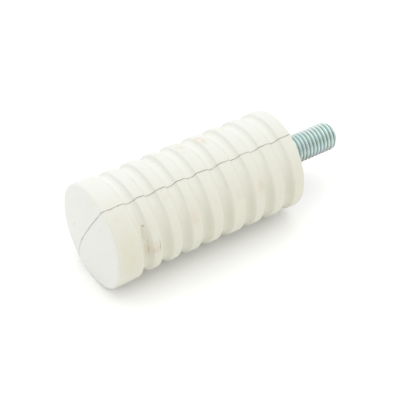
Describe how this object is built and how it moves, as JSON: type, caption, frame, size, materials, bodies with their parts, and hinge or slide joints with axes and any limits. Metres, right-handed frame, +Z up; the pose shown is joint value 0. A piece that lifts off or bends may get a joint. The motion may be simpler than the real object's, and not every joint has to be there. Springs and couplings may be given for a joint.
{
  "type": "ribbed porcelain insulator",
  "caption": "Ribbed off-white ceramic insulator with a closed domed end and a threaded steel stud cemented into the other end.",
  "frame": {"origin": "centre of the flat seat face at the stud end, on the axis", "axes": "+X along the axis, out of the seat face towards the stud's tip; the ribbed body runs along -X; +Z is up with the insulator lying on its side"},
  "size_m": [0.1189, 0.0432, 0.0432],
  "materials": {
    "ceramic": "matt unglazed off-white",
    "plated_steel": "bright zinc plate with a blue passivation",
    "cement": "matt cast cement",
    "cushion": "matt cork and rubber sheet"
  },
  "bodies": {
    "root": {"ceramic_body": "ceramic", "mounting_stud": "plated_steel", "cement_fill": "cement", "cushion_disc": "cushion"}
  },
  "joints": []
}
